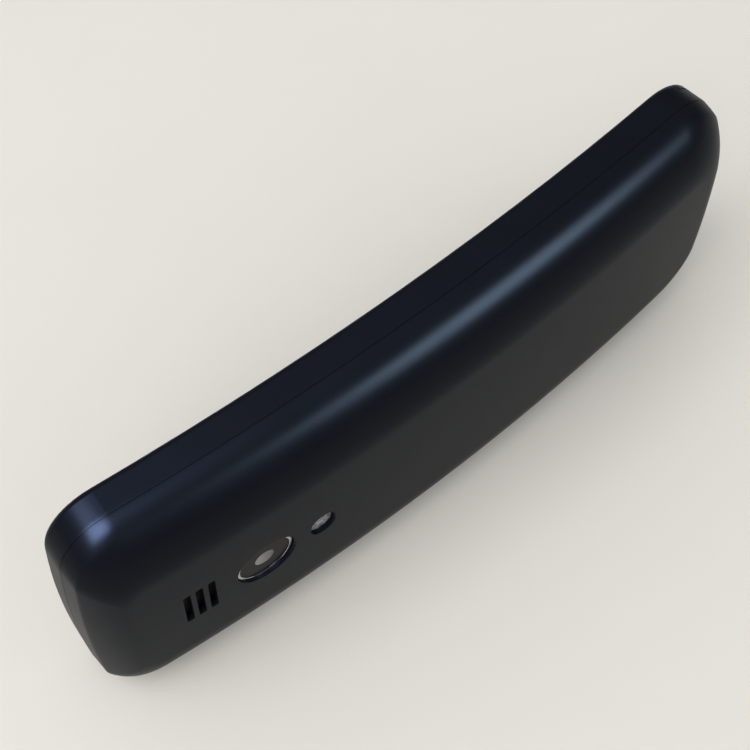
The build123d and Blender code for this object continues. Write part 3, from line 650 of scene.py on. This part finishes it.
paint_nodes(wrap_finish(), "battery")
axes, low, high = node_seat("battery")
middle = (low + high) / 2
half = (high - low) / 2
loop = round_corner_loop(half[0] - panel_margin, half[2] - panel_margin, panel_corner)
along, across = middle[0] + loop[:, 0], middle[2] + loop[:, 1]
sheets = []
for lift in (-panel_lift, panel_lift):
    sheets.append(np.stack([along, np.full(len(loop), high[1] + lift), across], axis=-1))
panel = capped("battery_panel", np.stack(sheets) @ axes)
paper = moulded("pale_panel", (0.42, 0.43, 0.45), (0.50, 0.51, 0.53), gloss=0.4, grain=0.4)
dress(panel, paper, "battery_pack")
loop = round_corner_loop(contact_half_depth, contact_half_width, contact_corner, steps=4)
for number, shift in enumerate((-contact_pitch, 0, contact_pitch)):
    depth, across = middle[1] + loop[:, 0], middle[2] + shift + loop[:, 1]
    sheets = []
    for lift in (-contact_lift, contact_lift):
        sheets.append(np.stack([np.full(len(loop), high[0] + lift), depth, across], axis=-1))
    pad = capped(f"battery_pad_{number + 1}", np.stack(sheets) @ axes)
    dress(pad, gold_plate, "battery_pack")

# Back cover
# The real piece is one deep moulded shell, clipped on at the parting line, and it lifts off for the
# battery. Its long edges are rounded in an ellipse that is wider than it is deep, and its two ends
# rise nearly straight from the parting line and then bend crisply into the back.

back_radius = 492.0
camera_end_corner = 9.0
foot_end_corner = 11.8
camera_end_bulge = 1.5
foot_end_bulge = 2.0
corner_steps = 28
side_steps = 150
end_steps = 44
cover_start = 5.47
ellipse_start = 5.40
cover_wall = 1.0
back_gap = 0.01
edge_reach = 11.0
end_reaches = (5.6, 6.5)
end_flats = (0.47, 0.35)
end_drafts = (0.90, 1.25)
end_losses = (0.0, 0.75)
end_bend = 1.1
end_gap = 0.03
edge_steps = 44
inner_steps = 16
spine_inset = mid_width - 0.02
corner_share = 0.55
corner_least = 0.05
camera_along = 37.9
flash_along = 27.5
slot_along = 49.5
slot_pitch = 2.1
slot_half_length = 0.6
slot_half_width = 4.4
slot_corner = 0.3
usb_depth = 7.65
usb_half_depth = 1.6
usb_half_width = 4.25
usb_corner = 1.0
jack_depth = 8.1
jack_offset = 9.5
jack_radius = 2.15
camera_radius = 5.1
flash_half_length = 2.15
flash_half_width = 2.55
hole_gap = 0.05
hole_chamfer = 0.15
cutter_reach = 3
end_cutter_reach = 8


def loop_outline(inset, end_insets, losses=((0,), (0,))):
    """The case's plan outline moved in by one inset at the sides and by others at the two ends, a row
    for each: two straight sides, four round corners, and two end arcs of a large radius that bulge
    outwards. A corner's centre lies one corner radius inside the side and one inside the end's arc.
    An end whose bulge has a loss comes in by as much at its middle, and stays at its corners."""
    inset = np.asarray(inset, float)[:, None]
    half_width = mid_width - inset
    rows = []
    for side, corner, bulge, end_inset, loss in (
        (1, camera_end_corner, camera_end_bulge, end_insets[0], losses[0]),
        (-1, foot_end_corner, foot_end_bulge, end_insets[1], losses[1]),
    ):
        loss = np.asarray(loss, float)[:, None]
        bulge = bulge - loss
        end_inset = np.asarray(end_inset, float)[:, None] + loss
        big = (mid_width**2 + bulge**2) / (2 * bulge) - end_inset
        radius = np.minimum(np.maximum(corner - corner_share * inset, corner_least), half_width)
        centre = half_length - end_inset - big
        reach = np.sqrt((big - radius) ** 2 - (half_width - radius) ** 2)
        turn = np.arctan2(half_width - radius, reach)
        sweep = turn + (math.pi / 2 - turn) * np.linspace(1, 0, corner_steps)
        corner_along = centre + reach + radius * np.cos(sweep)
        corner_across = half_width - radius + radius * np.sin(sweep)
        bow = turn * np.linspace(1, -1, end_steps + 2)[1:-1]
        along = np.hstack([corner_along, centre + big * np.cos(bow), corner_along[:, ::-1]])
        across = np.hstack([corner_across, big * np.sin(bow), -corner_across[:, ::-1]])
        rows.append((side * along, side * across))
    share = np.linspace(0, 1, side_steps + 2)[1:-1]
    whole = []
    for near, far in zip(*rows):
        down = near[:, -1:] + (far[:, :1] - near[:, -1:]) * share
        up = far[:, -1:] + (near[:, :1] - far[:, -1:]) * share
        whole.append(np.hstack([near, down, far, up]))
    return whole[0], mid_width + whole[1]


def back_depth(along):
    """Depth of the back, at its sides, behind the front. The back's arc has its own centre, so its
    reach r from the front's centre, at an angle a, solves r^2 + 2 r s cos a + s^2 = back radius^2,
    where s is the shift between the two centres."""
    shift = back_radius - front_radius - case_depth
    angle = np.asarray(along, float) / front_radius
    reach = -shift * np.cos(angle) + np.sqrt(back_radius**2 - (shift * np.sin(angle)) ** 2)
    return reach - front_radius


def shell_surface(inset, wall):
    """Outline rows at each inset. The depth rises from the parting line to the back by the quarter
    ellipse sqrt(1 - (1 - inset / reach)^2), and a parabola crowns the back across its width. Each end
    leans in by its draft times the rise, stays flat up to a share of the rise, and past that turns
    over as 1 - sqrt(1 - b^bend), where b is the share of the rest. Its bulge has a loss that grows
    with the rise. Each end value is a pair, for the camera end and the foot end. The back lies one
    small gap inside the solid's, and the ends another."""
    share = np.clip(1 - (inset - wall) / (edge_reach - wall), 0, 1)
    rise = np.sqrt(1 - share**2)
    past = end_gap + wall + np.clip(inset - edge_reach, 0, None)
    end_insets = []
    losses = []
    for reach, flat, draft, loss in zip(end_reaches, end_flats, end_drafts, end_losses):
        losses.append(loss * rise)
        bend = np.clip((rise - flat) / (1 - flat), 0, 1)
        end_insets.append(past + draft * rise + (reach - wall) * (1 - np.sqrt(1 - bend**end_bend)))
    rise = rise[:, None]
    along, across = loop_outline(inset, end_insets, losses)
    across = np.where(inset[:, None] < spine_inset, across, mid_width)
    crown = back_crown * (1 - ((across - mid_width) / mid_width) ** 2)
    top = back_depth(along) + crown - wall - back_gap
    depth = np.maximum(ellipse_start + (top - ellipse_start) * rise, cover_start)
    return place(along, depth, across)


def carve(piece, cutters):
    """Cuts a mesh with others and keeps the result as its own mesh."""
    name = piece.name
    for cutter in cutters:
        change = piece.modifiers.new("cut", "BOOLEAN")
        change.operation = "DIFFERENCE"
        change.object = cutter
        change.solver = "EXACT"
    mesh = bpy.data.meshes.new_from_object(piece.evaluated_get(bpy.context.evaluated_depsgraph_get()))
    for gone in [piece, *cutters]:
        bpy.data.objects.remove(gone)
    return finish_mesh(name, mesh)


def hole_cutter(along, loop):
    """Cutter through the back: a loop of (along, across) places that widens at the surface by the
    chamfer of the hole's edge."""
    top = float(back_depth(along)) + back_crown
    levels = (-cutter_reach, -hole_chamfer, hole_chamfer)
    growths = (hole_gap, hole_gap, hole_gap + 2 * hole_chamfer)
    sheets = []
    for level, growth in zip(levels, growths):
        wide = loop * (1 + growth / np.linalg.norm(loop, axis=1)[:, None])
        sheets.append(place(along + wide[:, 0], top + level, mid_width + wide[:, 1]))
    return capped("cutter", np.stack(sheets))


def end_cutter(depth, across, loop):
    """Straight cutter through the foot end: a loop of (depth, across) places."""
    sheets = []
    for along in (-half_length - cutter_reach, end_cutter_reach - half_length):
        sheets.append(place(along, depth + loop[:, 0], across + loop[:, 1]))
    return capped("cutter", np.stack(sheets))


turned = 1 - np.cos(np.linspace(0, math.pi / 2, edge_steps))
deep_insets = np.linspace(edge_reach, spine_inset, inner_steps)[1:]
outer_insets = np.concatenate([edge_reach * turned, deep_insets])
inner_insets = np.concatenate([cover_wall + (edge_reach - cover_wall) * turned, deep_insets])
outside = shell_surface(outer_insets, 0.0)
inside = shell_surface(inner_insets, cover_wall)
shell = np.concatenate([outside[::-1], inside])
back_shell = add_mesh("back_shell", shell.reshape(-1, 3), grid_faces(*shell.shape[:2]))
usb_loop = round_corner_loop(usb_half_depth, usb_half_width, usb_corner)
jack_loop = round_corner_loop(jack_radius, jack_radius, jack_radius, steps=12)
camera_loop = round_corner_loop(camera_radius, camera_radius, camera_radius, steps=24)
flash_loop = round_corner_loop(flash_half_length, flash_half_width, flash_half_length, steps=12)
slot_loop = round_corner_loop(slot_half_length, slot_half_width, slot_corner, steps=6)
cutters = [
    end_cutter(usb_depth, mid_width, usb_loop),
    end_cutter(jack_depth, mid_width + jack_offset, jack_loop),
    hole_cutter(camera_along, camera_loop),
    hole_cutter(flash_along, flash_loop),
]
for number in (-1, 0, 1):
    cutters.append(hole_cutter(slot_along + number * slot_pitch, slot_loop))
back_shell = carve(back_shell, cutters)
dress(back_shell, case_paint, "cover", ["back_cover"])

# Foot of the slide
# The real slide ends in a full-width foot, and a low skirt round it comes down to the front frame.
# It is moulded in one with the slide and painted like the case. Two small webs close the front
# frame's corners behind it.

foot_length = 6.05
skirt_insets = (0.08, 0.7)
skirt_depths = (1.85, 2.2)
web_insets = (0.02, 0.6)
web_depths = (2.28, 3.2)
web_start = 2.2
web_end = 5.7


def foot_band(insets, depths, first, last, side=0):
    """A band that follows the case's outline between two distances from the foot end, on one side or
    both: at each place of the outline, a section with two corners outside and two inside."""
    outer, inner = [np.stack(loop_outline([inset], [[inset]] * 2))[:, 0] for inset in insets]
    reach = outer[0] + half_length
    kept = (reach >= first) & (reach < last) & (side * (outer[1] - mid_width) >= 0)
    corners = [(outer, depths[0]), (outer, depths[1]), (inner, depths[1]), (inner, depths[0])]
    return np.stack([place(row[0][kept], depth, row[1][kept]) for row, depth in corners], axis=1)


skirt = capped("slide_skirt", foot_band(skirt_insets, skirt_depths, 0, foot_length))
dress(skirt, case_paint, "slide")
for side, name in ((1, "foot_web_left"), (-1, "foot_web_right")):
    web = capped(name, foot_band(web_insets, web_depths, web_start, web_end, side))
    dress(web, case_paint, "phone")

# Camera and flash
# The real camera looks through a black-printed disc inside a polished ring. Both sit in a round well,
# on a pad moulded inside the cover, and the flash's oval clear lens sits in a well of its own.

well_steps = 24
floor_drop = 1.35
fit = 0.03
bezel_drop = 0.55
bezel_width = 0.5
bezel_edge_in = 0.03
bezel_edge_down = 0.04
bezel_edge_inside = 0.05
pane_drop = 0.65
pane_edge = 0.05
clear_radius = 1.8
lens_seat = 0.1
lens_edge = 0.08
lens_top = 0.06
lens_rise = 0.08
reflection_slope = 0.28
flash_drop = 0.75
flash_edge = 0.1
flash_rise = 0.12
dome_steps = 14
dome_share = 0.995
sawtooth_pitch = 0.32
sawtooth_relief = 0.05
pad_rim = 1.0
pad_thickness = 0.45
pad_overlap = 0.1
pad_gap = 0.01
pad_ledge = 1.3
flash_ledge = 0.5


def well_piece(name, along, half_u, half_v, rows, smooth_angle=30, ring=False):
    """Piece in one of the cover's wells: each row moves an oval outline in by an inset and sets it
    at a drop below the back. A ring joins its last row to its first."""
    top = float(back_depth(along)) + back_crown
    loops = []
    for inset, drop in rows:
        loop = round_corner_loop(half_u - inset, half_v - inset, half_u - inset, well_steps)
        loops.append(np.stack([loop[:, 0], np.full(len(loop), top - drop), loop[:, 1]], axis=-1))
    loops = np.stack(loops) @ arc_axes(along / front_radius) + place(along, 0, mid_width)
    if not ring:
        return capped(name, loops, smooth_angle)
    faces = grid_faces(*loops.shape[:2], closed_rows=True)
    return add_mesh(name, loops.reshape(-1, 3), faces, smooth_angle)


def lens_pad(name, along, half_u, half_v, ledge):
    """Pad inside the cover, with the ledge that carries a lens."""
    root = cover_wall - pad_overlap
    seat = floor_drop + pad_gap
    under = floor_drop + pad_thickness
    rows = [
        (-pad_rim, under), (-pad_rim, root), (-hole_gap, root), (-hole_gap, seat), (ledge, seat),
        (ledge, under),
    ]
    pad = well_piece(name, along, half_u, half_v, rows, ring=True)
    dress(pad, case_paint, "cover")


def domed(half, base, rise):
    """Rows of a low dome from its edge to its middle: it stands above its base by the rise times one
    minus the squared share of the way out."""
    shares = np.linspace(0, 1, dome_steps)
    return [(half * share * dome_share, base - rise * (1 - (1 - share) ** 2)) for share in shares]


def turned_metal():
    """Polished metal with very fine turning lines."""
    metal = Finish("ring_chrome", Metallic=1.0)
    lines = metal.noise(0.06, detail=2)
    metal.feed("Base Color", metal.mix(metal.noise(1.5, detail=3), (0.80, 0.81, 0.82), (0.68, 0.69, 0.70)))
    metal.feed("Roughness", 0.10 + 0.10 * lines)
    return metal.material


def camera_glass():
    """Black print under the glass, with faint brownish clouds of its coating."""
    glass = Finish("camera_glass", IOR=1.45, Specular_IOR_Level=0.12)
    smear = glass.noise(4, detail=3)
    glass.feed("Base Color", glass.mix(smear, (0.006, 0.006, 0.006), (0.016, 0.011, 0.010)))
    glass.feed("Roughness", 0.14 + 0.12 * smear)
    return glass.material


def lens_reflection_finish():
    """Lens with a painted reflection of the room: pale grey, painted brighter towards the camera end."""
    lens = Finish("lens_painted_reflection", Specular_IOR_Level=0.3)
    middle = float(place(camera_along, case_depth, 0)[0])
    # Painted reflection: the colour grows brighter towards the camera end, with blotches.
    slope = (lens.axis("X") - middle) * reflection_slope + 0.5
    painted_reflection = (slope + 0.5 * (lens.noise(1.0, detail=3) - 0.5)).clamp()
    lens.feed("Base Color", lens.mix(painted_reflection, (0.15, 0.15, 0.14), (0.34, 0.34, 0.31)))
    lens.feed("Roughness", 0.25 + 0.2 * lens.noise(0.6))
    return lens.material


bezel_rows = [
    (0, floor_drop), (0, bezel_drop + bezel_edge_down), (bezel_edge_in, bezel_drop),
    (bezel_width - bezel_edge_inside, bezel_drop), (bezel_width, bezel_drop + bezel_edge_inside),
    (bezel_width, floor_drop),
]
bezel_place = (camera_along, camera_radius, camera_radius)
camera_bezel = well_piece("camera_bezel", *bezel_place, bezel_rows, ring=True)
dress(camera_bezel, turned_metal(), "cover", ["camera_ring"])
pane_radius = camera_radius - bezel_width - fit
pane_width = pane_radius - clear_radius
pane_rows = [
    (0, floor_drop), (0, pane_drop + pane_edge), (pane_edge, pane_drop), (pane_width, pane_drop),
    (pane_width, floor_drop),
]
camera_pane = well_piece("camera_pane", camera_along, pane_radius, pane_radius, pane_rows, ring=True)
dress(camera_pane, camera_glass(), "cover", ["camera_window"])
lens_radius = clear_radius - fit
lens_floor = floor_drop - lens_seat
lens_rows = [(lens_radius * dome_share, lens_floor), (0, lens_floor), (0, pane_drop + lens_edge)]
lens_rows += domed(lens_radius, pane_drop + lens_top, lens_rise)
pane_lens = well_piece("pane_lens", camera_along, lens_radius, lens_radius, lens_rows)
# The pale grey of both lenses is a painted reflection of the room.
lens_painted_reflection = lens_reflection_finish()
dress(pane_lens, lens_painted_reflection, "cover")
paint_nodes(lens_painted_reflection, "camera_lens")
lens_pad("camera_pad", camera_along, camera_radius, camera_radius, pad_ledge)
oval_u = flash_half_length - hole_gap
oval_v = flash_half_width - hole_gap
flash_rows = [(oval_u * dome_share, floor_drop), (0, floor_drop), (0, flash_drop + flash_edge)]
for inset, drop in domed(oval_u, flash_drop + flash_edge, flash_rise):
    flash_rows.append((inset, drop - sawtooth_relief * ((inset / sawtooth_pitch) % 1)))
flash_oval = well_piece("flash_oval", flash_along, oval_u, oval_v, flash_rows, smooth_angle=20)
dress(flash_oval, flash_plastic, "cover", ["flash_lens"])
lens_pad("flash_pad", flash_along, flash_half_length, flash_half_width, flash_ledge)

# Stage
# A pale table top, under one soft lamp that gives the plain light of the room. Two more lamps, a
# window behind the phone and a ceiling light over its upper end, give only the shine on it.

table_colour = (0.83, 0.79, 0.70)
table_shade = 0.40
table_half = 3000.0
room_colour = (0.92, 0.95, 1.0, 1)
room_strength = 0.62
room_strength_in_shine = 0.06
camera_target = Vector((4.616, -7.035, 25.0))
camera_distance = 262.48
camera_azimuth = math.radians(-41.562)
camera_elevation = math.radians(59.83)
camera_roll = math.radians(1.543)
focal_pixels = 1595.85
picture_pixels = 750
sensor_width = 36.0
nearest_seen = 0.01


def table_top():
    """Pale, even board, which throws less light back on the phone than it shows to the camera."""
    table = Finish("table_top", Roughness=0.9, Specular_IOR_Level=0.1)
    grain = table.mix(table.noise(40, detail=3), table_colour, tuple(0.97 * part for part in table_colour))
    dull = table.mix(table_shade, grain, (0.03, 0.03, 0.03))
    seen = table.node("ShaderNodeLightPath", {}, {}, "Is Camera Ray")
    table.feed("Base Color", table.mix(seen, dull, grain))
    return table.material


def add_lamp(name, spot, size, power, colour, shine):
    """Soft rectangular lamp, at a place in millimetres and of a size in metres, aimed at the phone.
    It gives either the shine on surfaces or the plain light."""
    light = bpy.data.lights.new(name, "AREA")
    light.shape = "RECTANGLE"
    light.size, light.size_y = size
    light.energy = power
    light.color = colour
    lamp = bpy.data.objects.new(name, light)
    lamp.location = Vector(spot) * mm
    lamp.rotation_euler = (-Vector(spot)).to_track_quat("-Z", "Y").to_euler()
    lamp.visible_diffuse = not shine
    lamp.visible_glossy = shine
    bpy.context.scene.collection.objects.link(lamp)


def add_room():
    """Even light from all round, which is dimmer where it would show as shine."""
    world = bpy.data.worlds.new("room")
    world.use_nodes = True
    tree = world.node_tree
    background = tree.nodes["Background"]
    background.inputs["Color"].default_value = room_colour
    path = tree.nodes.new("ShaderNodeLightPath")
    dim = tree.nodes.new("ShaderNodeMapRange")
    dim.inputs["To Min"].default_value = room_strength
    dim.inputs["To Max"].default_value = room_strength_in_shine
    tree.links.new(path.outputs["Is Glossy Ray"], dim.inputs["Value"])
    tree.links.new(dim.outputs["Result"], background.inputs["Strength"])
    bpy.context.scene.world = world


def add_camera():
    """Camera on a line from its target, turned about its own axis by a small roll."""
    back = Vector((
        -math.sin(camera_azimuth) * math.cos(camera_elevation),
        math.cos(camera_azimuth) * math.cos(camera_elevation),
        math.sin(camera_elevation),
    ))
    right = (-back).cross(Vector((0, 0, 1))).normalized()
    up = right.cross(-back)
    across = math.cos(camera_roll) * right + math.sin(camera_roll) * up
    upward = math.cos(camera_roll) * up - math.sin(camera_roll) * right
    view = bpy.data.cameras.new("photo_camera")
    view.sensor_width = sensor_width
    view.lens = sensor_width * focal_pixels / picture_pixels
    view.clip_start = nearest_seen
    camera = bpy.data.objects.new("photo_camera", view)
    matrix = Matrix((across, upward, back)).transposed().to_4x4()
    matrix.translation = (camera_target + back * camera_distance) * mm
    camera.matrix_world = matrix
    bpy.context.scene.collection.objects.link(camera)
    bpy.context.scene.camera = camera


corners = np.array([[-1, -1, 0], [1, -1, 0], [1, 1, 0], [-1, 1, 0]]) * table_half
floor = add_mesh("floor", corners, [[0, 1, 2, 3]])
floor.data.materials.append(table_top())
add_lamp(
    "room_lamp", spot=(760, 120, 1100), size=(1.2, 1.2), power=11.6, colour=(0.99, 0.99, 1.0), shine=False)
add_lamp(
    "window_shine", spot=(-530, 800, 780), size=(0.42, 0.43), power=17.5, colour=(0.70, 0.84, 1.0),
    shine=True)
add_lamp(
    "ceiling_shine", spot=(480, -125, 1100), size=(0.7, 0.75), power=95, colour=(0.58, 0.66, 1.0),
    shine=True)
add_room()
add_camera()
bpy.context.scene.view_settings.view_transform = "Standard"
